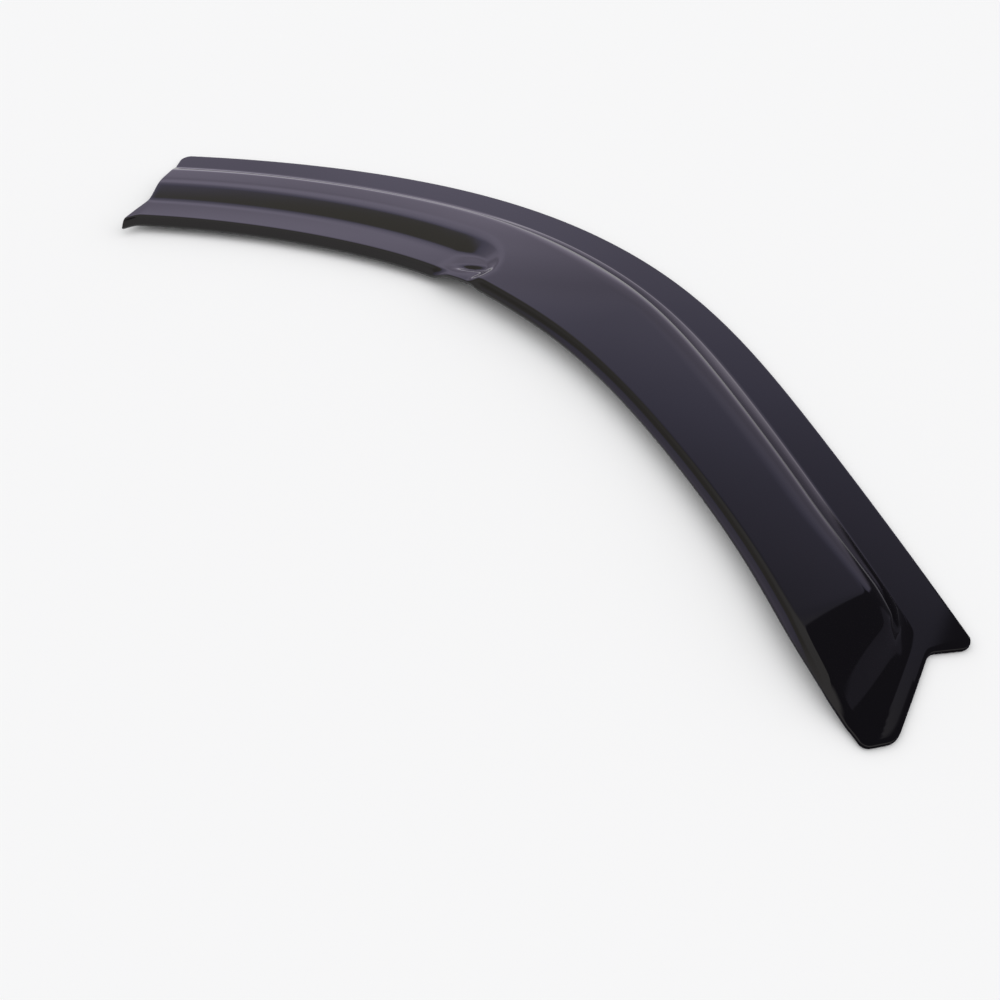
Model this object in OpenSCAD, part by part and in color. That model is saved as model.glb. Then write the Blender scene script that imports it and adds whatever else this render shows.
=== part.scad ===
// Window rain deflector for the front door on the right-hand side of a car.
// One moulded sheet of smoke-tinted acrylic: a flat bonding flange along the
// outer edge, a hood that stands off the glass, an air channel pressed into
// the rear of the hood, a closed slanting wall and a notched flange in front.
//
// Frame, in millimetres: the flange lies on Z = 0 and Z points away from the
// door. X runs toward the front of the car along the roof line, and Y points
// up the door. The origin is on the back of the flange, 13.5 mm in from its edge.
//
// The sheet is a surface over the plan. A place on it has a station, which is
// the distance along the outer edge, and an inset, which is the distance in
// from that edge. Its height comes from a few slope diagrams, each a list of
// [position, slope] that is integrated and scaled to the height it has to make.

/* [Plan line] */
// Gently curved run above the door glass
roof_run = 80; // [50:1:120]
// Length over which the roof line tightens into the corner
roof_blend = 285; // [240:1:330]
// Run of the corner at its smallest radius
corner_run = 63; // [40:1:90]
// Length over which the corner opens into the pillar line
pillar_blend = 236; // [200:1:270]
// Run down the windscreen pillar
pillar_run = 143; // [120:1:170]
// Radius of the roof line at the rear end
roof_radius = 800; // [650:5:1200]
// Smallest radius of the corner
corner_radius = 356; // [320:1:420]
// Radius of the pillar line
pillar_radius = 4000; // [2500:50:8000]

/* [Sheet and flange] */
// Thickness of the acrylic sheet
sheet = 2.5; // [2:0.1:3]
// Width of the flat bonding flange
flange_width = 24.3; // [22:0.1:27]
// Width of the flange at the rear end
flange_rear = 20; // [18:0.1:23]
// Corner radius of the flange at the rear end
rear_corner = 9; // [6:0.5:12]
// Corner radius of the flange at the front end
front_corner = 8; // [6:0.5:12]

/* [Wall behind the flange] */
// Width of the wall along the roof, where its crest lies close to the flange
wall_rear = 3.5; // [2:0.1:6]
// Width of the wall down the pillar
wall_front = 15.7; // [13:0.1:18]
// Width of the rolled shoulder behind the crest along the roof
shoulder_rear = 9; // [6:0.5:12]
// Width of the shoulder down the pillar
shoulder_front = 14; // [10:0.5:18]
// Rise of the wall and its shoulder along the roof
wall_rise_rear = 1.6; // [1:0.1:3]
// Rise of the wall and its shoulder down the pillar
wall_rise_front = 12; // [9:0.1:12.5]
// Station where the wall starts to widen and to rise
crest_start = 305; // [280:1:330]
// Length over which it does
crest_length = 210; // [170:1:250]

/* [Hood] */
// Width of the whole part along the channel
hood_rear = 127.5; // [118:0.5:136]
// Width of the whole part where the taper ends
hood_front = 92; // [86:0.5:100]
// Station where the taper starts
taper_start = 378; // [355:1:400]
// Length of the taper
taper_length = 375; // [350:1:400]
// Rise of the hood's edge over the flange at the rear
rise_rear = 15.5; // [13:0.1:19]
// Rise of the hood's edge over the flange at the front
rise_front = 14; // [13:0.1:17]
// Width of the lip that turns back toward the glass
lip_width = 7.5; // [6.5:0.1:9]
// Depth of the lip
lip_drop = 5; // [4:0.1:7]

/* [Air channel] */
// Length of the channel from the rear end
channel_length = 378; // [350:1:390]
// Depth of the channel under the hood's own surface
channel_depth = 6.6; // [3:0.1:7.4]
// Inset of the channel's upper edge at the rear end
channel_inset_rear = 48.5; // [44:0.5:53]
// Inset of the channel's upper edge at its closed end
channel_inset = 55.5; // [50:0.5:59]
// Width of the sloping step that leads down into the channel
channel_step = 45; // [35:0.5:50]
// Corner radius of the channel's closed end
channel_corner = 50; // [35:0.5:55]
// How many times longer the closed end is than the step is wide
end_stretch = 1.6; // [1.2:0.05:2.2]

/* [Rear end] */
// How much narrower the hood is at the cut end
rear_narrowing = 4; // [2:0.1:5]
// Length over which it narrows
rear_length = 240; // [180:1:280]
// How far the ear of the lip reaches past the cut end
ear_length = 9; // [5:0.1:11]
// Inset at which the cut end starts to lean toward the ear
ear_start = 84; // [70:0.5:95]
// How far the ear hangs below the lip's edge
ear_drop = 6; // [4:0.1:7]

/* [Front end] */
// How far the flange's cut end leans back across the flange
front_rake = 2.5; // [0:0.1:4]
// Slant of the front wall against the flange's cut end
end_slant = 48; // [43:0.5:50]
// Horizontal depth of the front wall's fall at the crest
end_wall = 18; // [16:0.5:24]
// Horizontal depth of its fall at the lip
lip_wall = 60; // [50:0.5:66]
// Width of the flange in front of the wall
end_flange = 9; // [6:0.1:11]
// Radius in the root of the notch
notch_radius = 7; // [5:0.1:9]
// How far the lower tip reaches past the flange's cut end
tip_reach = 44; // [40:0.5:50]
// Radius of the lower tip
tip_radius = 11; // [7:0.5:13]
// Radius of its corner at the lip
tip_corner = 4; // [3:0.5:6]
// How much narrower the hood is where the front wall falls
front_narrowing = 7; // [5:0.5:9]

/* [Hidden] */
// Station and inset of the datum on the bonding flange
datum = 100;
datum_inset = 13.5;
// Pitch of the table that holds the plan line, and its reach before the rear end
pitch = 4;
lead = 20;
edge_length = roof_run + roof_blend + corner_run + pillar_blend + pillar_run;
s1 = roof_run;
s2 = s1 + roof_blend;
s3 = s2 + corner_run;
s4 = s3 + pillar_blend;
deg = 180 / PI;

// Slope diagrams along the unit length of each feature
WALL = [[0, 0], [0.08, 0.30], [0.16, 0.45], [0.24, 1], [0.50, 1],
    [0.56, 0.40], [0.62, 0.25], [0.74, 0.14], [1, 0]];
BODY = [[0, 0], [0.04, 1], [1, 0.62], [1.05, 0]];
LIP = [[0, 0], [0.70, 1], [1, 1.2]];
STEP = [[0, 0], [0.28, 0.4], [0.36, 1], [0.80, 1], [0.88, 0.3], [1, 0]];
FRONT = [[0, 0], [0.08, 0.9], [0.12, 1], [0.22, 1], [0.35, 0.6], [1, 0]];

function clamp(x, a = 0, b = 1) = min(max(x, a), b);
function ease(x) = let (t = clamp(x)) t * t * (3 - 2 * t);
function mix(a, b, t) = a + (b - a) * t;

// Integral of a slope diagram from its start to x
function area(d, x) = let (part = [for (k = [0:len(d) - 2])
    let (w = d[k + 1][0] - d[k][0], u = clamp(x - d[k][0], 0, w))
    d[k][1] * u + (d[k + 1][1] - d[k][1]) * u * u / (2 * w)])
    part * [for (k = [0:len(d) - 2]) 1];
// The same, scaled so that it ends at 1
function ramp(d, x) = area(d, x) / area(d, d[len(d) - 1][0]);

// Heading of the plan line in degrees, zero at the datum
function eased_area(t) = t <= 0 ? 0 : t >= 1 ? t - 0.5 : pow(t, 3) - pow(t, 4) / 2;
function turned(s) = s / roof_radius
    + (1 / corner_radius - 1 / roof_radius) * eased_area((s - s1) / (s2 - s1)) * (s2 - s1)
    - (1 / corner_radius - 1 / pillar_radius) * eased_area((s - s3) / (s4 - s3)) * (s4 - s3);
function heading(s) = (turned(datum) - turned(s)) * deg;
function bend(s) = mix(1 / roof_radius, 1 / corner_radius, ease((s - s1) / (s2 - s1)))
    - (1 / corner_radius - 1 / pillar_radius) * ease((s - s3) / (s4 - s3));

// Points of the outer edge at every pitch, summed along the heading
line_steps = ceil((edge_length + 120 + lead) / pitch);
line = [for (i = 0, p = [0, 0]; i <= line_steps;
    p = p + pitch * [cos(heading((i + 0.5) * pitch - lead)), sin(heading((i + 0.5) * pitch - lead))],
    i = i + 1) p];
function on_line(s) = let (i = clamp(floor((s + lead) / pitch), 0, line_steps - 1),
    r = s + lead - i * pitch, h = heading(s - r / 2))
    line[i] + r * [cos(h), sin(h)];
zero = on_line(datum) - [0, datum_inset];

// Front wall: its foot is a straight line that slants with the inset, and it falls
// over a depth that grows from the crest to the lip
foot_start = edge_length - 3 - end_flange / cos(end_slant);
function foot(v) = foot_start + (v - flange_width) * tan(end_slant);
front_crest = flange_width + wall_front;
function fall(v) = mix(end_wall, lip_wall, clamp((v - front_crest) / (hood_front - front_crest)));
function front(s, v) = ramp(FRONT, clamp((foot(v) - s) * cos(end_slant) / fall(v)));

// Features across the sheet, as insets from the outer edge
function root(s) = mix(flange_rear, flange_width, ease(s / rear_length));
function full_wall(s) = ease((s - crest_start) / crest_length);
function crest(s) = root(s) + mix(wall_rear, wall_front, full_wall(s));
function ear(s) = 1 - ease((s + ear_length) / (ear_length + 4));
function hood(s) = hood_rear - (hood_rear - hood_front) * ease((s - taper_start) / taper_length)
    - rear_narrowing * (1 - ease(s / rear_length)) + ear_drop * ear(s);
function edge(s) = let (h = hood(s)) h - front_narrowing * (1 - front(s, h));
function lip(s) = edge(s) - lip_width;
function edge_rise(s) = mix(rise_rear, rise_front, ease((s - taper_start) / taper_length));
function wall_rise(s) = mix(wall_rise_rear, wall_rise_front, full_wall(s));
function shoulder(s) = mix(shoulder_rear, shoulder_front, full_wall(s));

// Share of the channel's depth at a place, full well inside it
function channel(s, v) = let (
    a = (s - channel_length) / end_stretch + channel_corner,
    b = mix(channel_inset_rear, channel_inset, ease(s / channel_length)) - v + channel_corner,
    out = norm([max(a, 0), max(b, 0)]) + min(max(a, b), 0) - channel_corner)
    ramp(STEP, clamp(-out / channel_step));

// Height of the upper face over the flange's own upper face
function rise(s, v) = let (r = root(s), c = crest(s), l = lip(s), wall = wall_rise(s))
    front(s, v) * (
        wall * ramp(WALL, clamp((v - r) / (c + shoulder(s) - r)))
        + (edge_rise(s) - wall) * ramp(BODY, clamp((v - c) / (l - c), 0, 1.05))
        - channel_depth * channel(s, v)
        - lip_drop * ramp(LIP, clamp((v - l) / lip_width)));

// Outline of the two ends, as stations for an inset
function quarter(x, r) = r - sqrt(max(0, r * r - pow(r - clamp(x, 0, r), 2)));
function over(x, r) = x > r ? x : x < -r ? 0 : pow(x + r, 2) / (4 * r);
function rear_end(s, v) = quarter(v, rear_corner)
    - ear_length * over((v - ear_start) / (edge(s) - ear_start), 0.15);
function front_end(s, v) =
    let (cut = edge_length - front_rake * clamp(v / flange_width),
        slant = foot(v) + end_flange / cos(end_slant) - cut)
    cut - quarter(v, front_corner) + over(slant, notch_radius / 2)
    - over(slant - tip_reach, tip_radius / 2) - quarter(edge(s) - v, tip_corner);

// Columns of the net: the inset of each one at a station
FLANGE_COLS = [0, 0.05, 0.2, 0.45, 0.75, 1];
WALL_COLS = [0, 0.2, 0.4, 0.5, 0.6, 0.75, 0.87, 1];
BODY_COLS = [0.04, 0.09, 0.15, 0.22, 0.30, 0.37, 0.42, 0.48, 0.54, 0.60, 0.66, 0.72, 0.79, 0.88, 0.95];
LIP_COLS = [0, 0.2, 0.4, 0.6, 0.8, 1];
function columns(s) = concat(
    [for (q = FLANGE_COLS) q * max(rear_corner, front_corner)],
    [mix(max(rear_corner, front_corner), root(s), 0.5)],
    [for (q = WALL_COLS) mix(root(s), crest(s), q)],
    [for (q = BODY_COLS) mix(crest(s), lip(s), q)],
    [for (q = LIP_COLS) lip(s) + q * lip_width]);
across = len(columns(0));

// Rows of the net: straight across up to the fan, then turning to lie along the front wall
fan = s3 + 120;
REAR_ROWS = [for (s = [0, 4, 9, 15, 22, 30]) s];
channel_rows = [for (k = [0:10]) channel_length - 84 + k * 8.4];
ROWS = concat(REAR_ROWS,
    [for (k = [1:15]) mix(30, channel_rows[0], k / 16)], channel_rows,
    [for (k = [1:15]) mix(channel_rows[10], fan, k / 15)]);
FAN_ROWS = 12;
FRONT_ROWS = [0, 0.12, 0.25, 0.38, 0.5, 0.6, 0.68, 0.76, 0.83, 0.89, 0.95, 1];
FLAT_ROWS = [0.5, 1];
along = len(ROWS) + FAN_ROWS + len(FRONT_ROWS) - 1 + len(FLAT_ROWS);
function station(i, s, v) = let (
    n = len(ROWS), m = n + FAN_ROWS - 1, q = m + len(FRONT_ROWS) - 1,
    head = foot(v) - fall(v) / cos(end_slant), last = front_end(s, v),
    low = min(foot(v), mix(head, last, 0.8)))
    i < n ? ROWS[i] + rear_end(s, v) * clamp(1 - ROWS[i] / 30)
    : i <= m ? mix(fan, head, (i - n + 1) / FAN_ROWS)
    : i <= q ? mix(head, low, FRONT_ROWS[i - m])
    : mix(low, last, FLAT_ROWS[i - q - 1]);

// A place of the net as [station, inset], settled in three passes
function place(i, j) = let (
    s0 = station(i, min(i < len(ROWS) ? ROWS[i] : foot(60), edge_length), 60),
    s1 = station(i, s0, columns(s0)[j]),
    s2 = station(i, s1, columns(s1)[j]), v = columns(s2)[j])
    [station(i, s2, v), v];

// Upper point at a place, and the lower one a sheet's thickness along the normal
function shell(s, v) = let (e = 0.02, h = heading(s), o = on_line(s),
    t = [cos(h), sin(h)], n = [sin(h), -cos(h)],
    ds = (rise(s + e, v) - rise(s - e, v)) / (2 * e) / (1 - bend(s) * v),
    dv = (rise(s, v + e) - rise(s, v - e)) / (2 * e),
    m = norm([ds, dv, 1]), up = [-ds, -dv, 1] / m,
    q = o + v * n - zero, z = sheet + rise(s, v),
    side = up[0] * t + up[1] * n)
    [[q[0], q[1], z],
     [q[0] - sheet * side[0], q[1] - sheet * side[1], z - sheet * up[2]]];

module deflector() {
    net = [for (i = [0:along - 1]) for (j = [0:across - 1])
        let (p = place(i, j)) shell(p[0], p[1])];
    count = along * across;
    points = concat([for (p = net) p[0]], [for (p = net) p[1]]);
    quads = [for (i = [0:along - 2]) for (j = [0:across - 2])
        let (a = i * across + j) [a, a + across, a + across + 1, a + 1]];
    rim = concat(
        [for (j = [0:across - 2]) j],
        [for (i = [0:along - 2]) i * across + across - 1],
        [for (j = [across - 1:-1:1]) (along - 1) * across + j],
        [for (i = [along - 1:-1:1]) i * across]);
    n = len(rim);
    faces = concat(
        [for (q = quads) for (f = [[q[0], q[1], q[2]], [q[0], q[2], q[3]]]) f],
        [for (q = quads) for (f = [[q[0], q[2], q[1]], [q[0], q[3], q[2]]])
            [f[0] + count, f[1] + count, f[2] + count]],
        [for (k = [0:n - 1]) let (a = rim[k], b = rim[(k + 1) % n])
            for (f = [[a, b, b + count], [a, b + count, a + count]]) f]);
    color([0.10, 0.09, 0.11])
        polyhedron(points = points, faces = faces, convexity = 6);
}

deflector();
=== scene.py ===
"""Looks of a window rain deflector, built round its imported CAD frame.

The deflector is one moulded sheet of smoke-tinted acrylic: a flat bonding flange along
its outer edge, a hood that stands off the glass, an air channel pressed into the rear
of the hood, a closed slanting wall and a notched flange in front. The frame is the
CAD's: the flange lies on Z = 0, X runs toward the front of the car and Y up the door.

The sheet is a surface of two parameters. The station is the distance along the outer
edge and the inset is the distance in from that edge. Sizes are in millimetres, as in
the CAD, and meshes are in metres.
"""

import logging
import math
from dataclasses import dataclass
from enum import Enum
from typing import Any, Sequence, Union

import bpy
import numpy as np
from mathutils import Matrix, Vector


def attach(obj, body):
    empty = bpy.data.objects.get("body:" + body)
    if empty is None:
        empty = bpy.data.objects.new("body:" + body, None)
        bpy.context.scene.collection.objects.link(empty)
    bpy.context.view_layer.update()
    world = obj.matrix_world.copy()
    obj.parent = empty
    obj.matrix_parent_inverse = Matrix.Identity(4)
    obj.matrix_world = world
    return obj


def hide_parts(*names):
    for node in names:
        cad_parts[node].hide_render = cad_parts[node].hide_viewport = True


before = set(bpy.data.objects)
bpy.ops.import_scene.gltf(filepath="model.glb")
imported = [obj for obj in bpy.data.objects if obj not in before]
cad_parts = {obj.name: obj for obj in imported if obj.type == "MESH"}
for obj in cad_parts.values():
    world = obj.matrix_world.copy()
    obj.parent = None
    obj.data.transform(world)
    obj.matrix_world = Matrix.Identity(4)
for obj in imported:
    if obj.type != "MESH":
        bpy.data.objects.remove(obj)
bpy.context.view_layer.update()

log = logging.getLogger("deflector")

MM = 0.001
Array = np.ndarray
Number = Union[float, Array]
Colour = tuple[float, float, float, float]
Band = tuple[float, float]


# ---------------------------------------------------------------- shape functions


def clamp(x: Number, low: Number = 0.0, high: Number = 1.0) -> Array:
    """Holds x between low and high."""
    return np.clip(x, low, high)


def ease(x: Number) -> Array:
    """Smooth step: 3 t squared less 2 t cubed, with t held between 0 and 1."""
    t = clamp(x)
    return t * t * (3.0 - 2.0 * t)


def mix(a: Number, b: Number, t: Number) -> Array:
    """Goes from a to b as t goes from 0 to 1."""
    return a + (b - a) * t


def quarter(x: Number, radius: float) -> Array:
    """Gap between a square corner and its quarter round, at a distance x from the edge.

    Formula: the radius less the root of the radius squared less what is left of the
    radius at x, squared. It is the radius at the edge and nothing past the radius.

    Args:
        x: Distance from the edge, in millimetres.
        radius: Radius of the corner.

    Returns:
        The gap, in millimetres.
    """
    left = radius - clamp(x, 0.0, radius)
    return radius - np.sqrt(np.maximum(0.0, radius * radius - left * left))


def over(x: Number, radius: float) -> Array:
    """The positive part of x, rounded by a parabola that spans the radius on each side of zero."""
    return np.where(x > radius, x, np.where(x < -radius, 0.0, (x + radius) ** 2 / (4.0 * radius)))


@dataclass(frozen=True)
class SlopeDiagram:
    """A slope drawn as straight lines, which is integrated to give a smooth rise.

    Attributes:
        stops: Pairs of position and slope, along the unit length of a feature.
    """

    stops: tuple[tuple[float, float], ...]

    @property
    def end(self) -> float:
        """Position of the last stop."""
        return self.stops[-1][0]

    def area(self, x: Number) -> Array:
        """Integral of the diagram from its start to x: the sum of each line's trapezium up to x."""
        total: Number = 0.0
        for (x0, y0), (x1, y1) in zip(self.stops[:-1], self.stops[1:]):
            run = clamp(x - x0, 0.0, x1 - x0)
            total = total + y0 * run + (y1 - y0) * run * run / (2.0 * (x1 - x0))
        return total

    def ramp(self, x: Number) -> Array:
        """The same integral, scaled so that it ends at one."""
        return self.area(x) / self.area(self.end)


# ---------------------------------------------------------------- the sheet's sizes


@dataclass(frozen=True)
class PlanLine:
    """Outer edge of the flange in plan: a gentle roof line, a corner and a pillar line.

    Attributes:
        roof_run: Length of the roof line at its own radius.
        roof_blend: Length over which it tightens into the corner.
        corner_run: Length of the corner at its smallest radius.
        pillar_blend: Length over which the corner opens into the pillar line.
        pillar_run: Length of the pillar line.
        roof_radius: Radius of the roof line.
        corner_radius: Smallest radius of the corner.
        pillar_radius: Radius of the pillar line.
        datum: Station of the origin, which has the heading of the X axis.
        datum_inset: Inset of the origin.
        step: Length of a step of the table that holds the line.
        before: How far the table runs on before the rear end.
        beyond: How far the table runs on past the front end.
    """

    roof_run: float = 80.0
    roof_blend: float = 285.0
    corner_run: float = 63.0
    pillar_blend: float = 236.0
    pillar_run: float = 143.0
    roof_radius: float = 800.0
    corner_radius: float = 356.0
    pillar_radius: float = 4000.0
    datum: float = 100.0
    datum_inset: float = 13.5
    step: float = 0.5
    before: float = 40.0
    beyond: float = 160.0

    @property
    def stations(self) -> tuple[float, float, float, float, float]:
        """Stations at which the four blends start and end, and the length of the edge."""
        s1 = self.roof_run
        s2 = s1 + self.roof_blend
        s3 = s2 + self.corner_run
        s4 = s3 + self.pillar_blend
        return s1, s2, s3, s4, s4 + self.pillar_run

    def turned(self, s: Number) -> Array:
        """Angle turned since the start, in radians.

        Formula: the integral of the curvature, which goes by a smooth step from one
        radius to the next. The integral of a smooth step is t cubed less half of t to
        the fourth, and past its end it grows as t less a half.

        Args:
            s: Stations.

        Returns:
            The angles.
        """
        s1, s2, s3, s4, _ = self.stations

        def eased_area(t: Array) -> Array:
            """Integral of the smooth step from 0 to t."""
            return np.where(t <= 0.0, 0.0, np.where(t >= 1.0, t - 0.5, t**3 - t**4 / 2.0))

        tighten = 1.0 / self.corner_radius - 1.0 / self.roof_radius
        open_up = 1.0 / self.corner_radius - 1.0 / self.pillar_radius
        return (
            s / self.roof_radius
            + tighten * eased_area((s - s1) / (s2 - s1)) * (s2 - s1)
            - open_up * eased_area((s - s3) / (s4 - s3)) * (s4 - s3)
        )

    def heading(self, s: Number) -> Array:
        """Heading of the edge in radians, zero at the datum and falling toward the front."""
        return self.turned(np.asarray(self.datum)) - self.turned(s)

    def bend(self, s: Number) -> Array:
        """Curvature of the edge, in 1/mm."""
        s1, s2, s3, s4, _ = self.stations
        corner = 1.0 / self.corner_radius
        return mix(1.0 / self.roof_radius, corner, ease((s - s1) / (s2 - s1))) - (
            corner - 1.0 / self.pillar_radius
        ) * ease((s - s3) / (s4 - s3))

    def point(self, s: Array) -> Array:
        """Points of the edge in plan, summed along the heading in short steps.

        Args:
            s: Stations, as an array of any shape.

        Returns:
            The points, with a last axis of two.
        """
        table = np.arange(-self.before, self.stations[4] + self.beyond, self.step)
        mid = self.heading(table[:-1] + self.step / 2.0)
        x = np.concatenate([[0.0], np.cumsum(self.step * np.cos(mid))])
        y = np.concatenate([[0.0], np.cumsum(self.step * np.sin(mid))])
        return np.stack([np.interp(s, table, x), np.interp(s, table, y)], axis=-1)


@dataclass(frozen=True)
class Flange:
    """Flat band that is bonded to the door frame, and the wall that rises behind it.

    Attributes:
        width: Width of the band.
        width_rear: Width of the band at the cut end.
        rear_corner: Radius of its corner at the cut end.
        front_corner: Radius of its corner at the front.
        wall_rear: Inset of the crest behind the band, along the roof.
        wall_front: The same, down the pillar.
        shoulder_rear: Width of the round behind the crest, along the roof.
        shoulder_front: The same, down the pillar.
        rise_rear: Height of the wall with its shoulder, along the roof.
        rise_front: The same, down the pillar.
        crest_start: Station where the wall starts to rise.
        crest_length: Length over which it does.
        inset_start: Station where the crest starts to move in.
        inset_length: Length over which it does.
        closing: Distance by which the crest comes back out down the pillar.
        closing_start: Station where it starts to.
        closing_length: Length over which it does.
        tip_closing: Distance by which the crest comes back out at the front wall.
        tip_start: Station where it starts to.
        tip_length: Length over which it does.
        wall: Slopes of the wall and its shoulder, from the band inward.
    """

    width: float = 24.3
    width_rear: float = 20.0
    rear_corner: float = 9.0
    front_corner: float = 8.15
    wall_rear: float = 3.5
    wall_front: float = 15.2
    shoulder_rear: float = 9.0
    shoulder_front: float = 18.0
    rise_rear: float = 1.6
    rise_front: float = 12.5
    crest_start: float = 265.0
    crest_length: float = 225.0
    inset_start: float = 278.0
    inset_length: float = 152.0
    closing: float = 4.6
    closing_start: float = 540.0
    closing_length: float = 160.0
    tip_closing: float = 8.0
    tip_start: float = 692.0
    tip_length: float = 95.0
    wall: SlopeDiagram = SlopeDiagram(
        (
            (0.0, 0.0), (0.04, 0.55), (0.09, 0.74), (0.30, 0.90),
            (0.465, 1.02), (0.49, 0.72), (0.55, 0.48), (0.61, 0.34),
            (0.67, 0.23), (0.78, 0.14), (1.0, 0.0),
        )
    )


@dataclass(frozen=True)
class Hood:
    """Hood behind the crest, with the lip along its inner edge.

    Attributes:
        width_rear: Inset of the inner edge along the roof.
        width_front: The same, at the front.
        taper_start: Station where the hood starts to narrow.
        taper_length: Length over which it does.
        rise_rear: Height of the hood over the flange, along the roof.
        rise_front: The same, at the front.
        lip_width: Width of the lip.
        lip_drop: Depth of the lip.
        rear_narrowing: Narrowing of the hood toward the cut end.
        rear_length: Length over which it narrows.
        ear_length: How far the lip's ear stands out of the cut end.
        ear_blend: Length over which the ear runs into the edge.
        ear_start: Inset where the ear starts.
        ear_drop: Widening of the hood at the ear.
        ear_round: Softness of the ear's root, as a share of its width.
        body: Slopes of the hood from the crest to the lip.
        lip: Slopes of the lip, falling.
    """

    width_rear: float = 127.5
    width_front: float = 92.0
    taper_start: float = 378.0
    taper_length: float = 375.0
    rise_rear: float = 15.45
    rise_front: float = 14.0
    lip_width: float = 7.5
    lip_drop: float = 5.0
    rear_narrowing: float = 4.0
    rear_length: float = 240.0
    ear_length: float = 8.93
    ear_blend: float = 4.0
    ear_start: float = 84.0
    ear_drop: float = 6.0
    ear_round: float = 0.15
    body: SlopeDiagram = SlopeDiagram(((0.0, 0.0), (0.04, 1.0), (1.0, 0.62), (1.05, 0.0)))
    lip: SlopeDiagram = SlopeDiagram(((0.0, 0.0), (0.70, 1.0), (1.0, 1.2)))


@dataclass(frozen=True)
class AirChannel:
    """Channel pressed into the rear of the hood, open at the cut end and closed in front.

    Attributes:
        length: Station of its closed end.
        depth: Depth of the shelf between its step and the lip.
        middle_rear: Inset of the step's middle line at the cut end.
        middle_front: The same, at the closed end.
        corner: Reach of the corner that closes the end, across the hood.
        corner_stretch: Reach of that corner along the hood, over the one across it.
        step_width: Width of the step.
        end_width: Width of the step at the closed end.
        end_run: Length over which the step narrows.
        end_share: Share of the depth that is left at the closed end.
        fade_start: Station where the depth starts to fade.
        fade_run: Length over which it does.
        lip_ease: Share of the lip's depth that is lost beside the closed end.
        lip_before: How far before the closed end the lip starts to run out.
        lip_out: Length over which it runs out.
        lip_after: How far past the closed end the lip is whole again.
        lip_back: Length over which it comes back.
        pit: Station and inset of the small pit.
        pit_reach: Half-lengths of the pit, along and across.
        pit_slant: Slant of the pit's long axis.
        pit_depth: Depth of the pit.
        step_middle: Place of the middle line on the step's slope diagram.
        step: Slopes of the step, falling.
    """

    length: float = 362.0
    depth: float = 6.6
    middle_rear: float = 74.6
    middle_front: float = 81.0
    corner: float = 36.0
    corner_stretch: float = 1.25
    step_width: float = 45.0
    end_width: float = 13.0
    end_run: float = 66.0
    end_share: float = 0.46
    fade_start: float = 304.0
    fade_run: float = 56.0
    lip_ease: float = 1.0
    lip_before: float = 56.0
    lip_out: float = 26.0
    lip_after: float = 14.0
    lip_back: float = 20.0
    pit: tuple[float, float] = (343.0, 109.2)
    pit_reach: tuple[float, float] = (13.0, 3.6)
    pit_slant: float = 0.22
    pit_depth: float = 1.9
    step_middle: float = 0.58
    step: SlopeDiagram = SlopeDiagram(
        ((0.0, 0.0), (0.28, 0.4), (0.36, 1.0), (0.80, 1.0), (0.88, 0.3), (1.0, 0.0))
    )


@dataclass(frozen=True)
class FrontEnd:
    """Closed slanting wall and the notched flange in front of it.

    Attributes:
        rake: How much shorter the flange's cut is at its inner side.
        slant: Angle of the wall's foot to a cut square to the edge, in degrees.
        wall_depth: Depth of the wall at the crest, square to its foot.
        lip_depth: The same, at the lip.
        flange: Width of the flange in front of the wall.
        set_back: How far the slanting outline stays behind the flange's cut.
        notch_radius: Reach of the notch's round.
        tip_reach: How far the lower tip runs past the flange's cut.
        tip_radius: Reach of the tip's round.
        tip_corner: Radius of the corner between tip and lip.
        narrowing: Narrowing of the hood where the wall falls.
        slanting_from: Inset past which the outline is the slanting one.
        wall: Slopes of the wall, rising from its foot.
    """

    rake: float = 2.5
    slant: float = 48.0
    wall_depth: float = 26.0
    lip_depth: float = 60.0
    flange: float = 9.0
    set_back: float = 3.0
    notch_radius: float = 7.0
    tip_reach: float = 44.0
    tip_radius: float = 11.0
    tip_corner: float = 4.0
    narrowing: float = 12.0
    slanting_from: float = 40.0
    wall: SlopeDiagram = SlopeDiagram(
        (
            (0.0, 0.0), (0.05, 0.28), (0.22, 0.42), (0.27, 1.0),
            (0.45, 1.0), (0.52, 0.5), (0.75, 0.35), (1.0, 0.0),
        )
    )


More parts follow.
